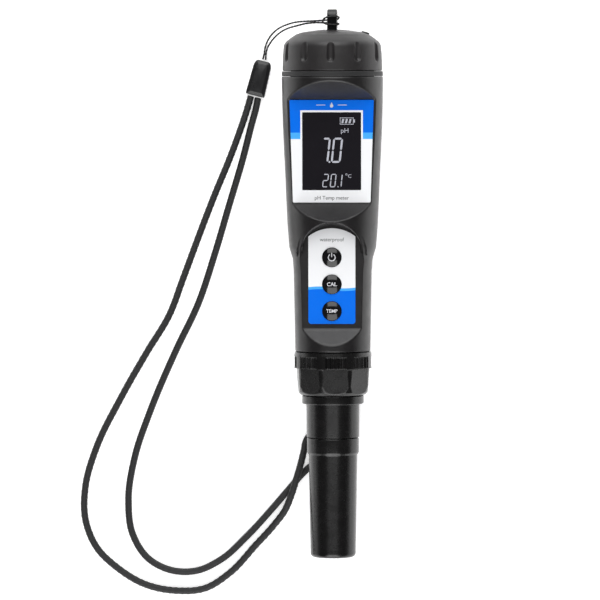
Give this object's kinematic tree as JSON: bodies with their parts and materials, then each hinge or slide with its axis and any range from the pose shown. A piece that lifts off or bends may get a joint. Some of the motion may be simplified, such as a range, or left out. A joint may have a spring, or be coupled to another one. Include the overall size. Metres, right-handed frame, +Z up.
{
  "type": "ph test pen",
  "caption": "Handheld pen meter for pH and temperature with a display, keypad, screw battery cap, wrist strap, screw-in electrode and pull-off storage cap.",
  "frame": {"origin": "centre of the pen's footprint on the surface it lies on, measured without the strap", "axes": "+Y from the storage cap towards the battery cap, +Z up out of the surface, the side the display faces, +X to the right of the display"},
  "size_m": [0.1146, 0.2204, 0.0383],
  "materials": {
    "satin_black": "satin moulded black, fine grain",
    "gloss_black": "glossy moulded black",
    "label_film": "printed film, blue over white",
    "keypad_film": "printed film, white over blue",
    "clear_window": "smoked clear window",
    "lcd_glass": "black negative display glass",
    "diffuser": "white light guide",
    "solder_mask": "green solder mask",
    "chip_epoxy": "moulded epoxy",
    "silicone": "grey silicone rubber",
    "steel": "plain steel",
    "nickel": "nickel plate",
    "rubber": "black rubber",
    "sponge": "open foam",
    "glass": "clear glass",
    "porous_white": "porous white ring",
    "cord": "braided black cord"
  },
  "bodies": {
    "root": {"body_shell": "satin_black", "display_label": "label_film", "display_window": "clear_window", "lcd_panel": "lcd_glass", "lcd_backlight": "diffuser", "lcd_connector": "silicone", "circuit_board": "solder_mask", "board_frame": "satin_black", "board_screw_lower": "steel", "board_screw_upper": "steel", "main_chip": "chip_epoxy", "amplifier_chip": "chip_epoxy", "power_switch": "nickel", "cal_switch": "nickel", "temp_switch": "nickel", "keypad_overlay": "keypad_film", "keypad_seal": "silicone", "battery_carrier": "satin_black", "battery_cell_1": "nickel", "battery_cell_2": "nickel", "battery_cell_3": "nickel", "battery_cell_4": "nickel", "battery_spring": "steel", "battery_contact": "nickel", "probe_socket": "satin_black"},
    "power_key": {"power_button": "gloss_black", "power_plunger": "satin_black"},
    "cal_key": {"cal_button": "gloss_black", "cal_plunger": "satin_black"},
    "temp_key": {"temp_button": "gloss_black", "temp_plunger": "satin_black"},
    "cap_ring": {"cap_gasket": "rubber"},
    "cap": {"battery_cap": "satin_black", "cap_contact": "nickel", "strap_lug": "gloss_black", "strap_thin_cord": "cord", "strap_clasp": "gloss_black", "strap_cord": "cord"},
    "electrode": {"electrode_housing": "satin_black", "electrode_sleeve": "satin_black", "glass_electrode": "glass", "reference_junction": "porous_white", "temperature_probe": "steel", "electrode_seal": "rubber", "electrode_connector": "nickel", "storage_seal": "rubber"},
    "collar": {"collar_nut": "satin_black"},
    "storage": {"storage_cap": "satin_black", "storage_sponge": "sponge"}
  },
  "joints": [
    {"name": "power_press", "type": "slide", "parent": "root", "child": "power_key", "axis": [0, 0.0446, -0.999], "range_m": [0, 0.0008], "stiffness_N_per_m": 500},
    {"name": "cal_press", "type": "slide", "parent": "root", "child": "cal_key", "axis": [0, 0.0446, -0.999], "range_m": [0, 0.0008], "stiffness_N_per_m": 500},
    {"name": "temp_press", "type": "slide", "parent": "root", "child": "temp_key", "axis": [0, 0.0446, -0.999], "range_m": [0, 0.0008], "stiffness_N_per_m": 500},
    {"name": "cap_lift", "type": "slide", "parent": "root", "child": "cap_ring", "axis": [0, 0.999, 0.0446], "range_m": [0, 0.003]},
    {"name": "cap_turn", "type": "hinge", "parent": "cap_ring", "child": "cap", "pos_m": [0, -0.10264, 0.01129], "axis": [0, 0.999, 0.0446], "range_deg": [0, 720]},
    {"name": "electrode_out", "type": "slide", "parent": "root", "child": "electrode", "axis": [0, -0.999, -0.0446], "range_m": [0, 0.005]},
    {"name": "collar_turn", "type": "hinge", "parent": "electrode", "child": "collar", "pos_m": [0, -0.10264, 0.01129], "axis": [0, -0.999, -0.0446], "range_deg": [0, 720]},
    {"name": "storage_cap_pull", "type": "slide", "parent": "electrode", "child": "storage", "axis": [0, -0.999, -0.0446], "range_m": [0, 0.045]}
  ],
  "couplings": [
    {"joint": "cap_lift", "follows": "cap_turn", "m_per_rad": 0.000238},
    {"joint": "collar_turn", "follows": "electrode_out", "rad_per_m": 2513}
  ]
}
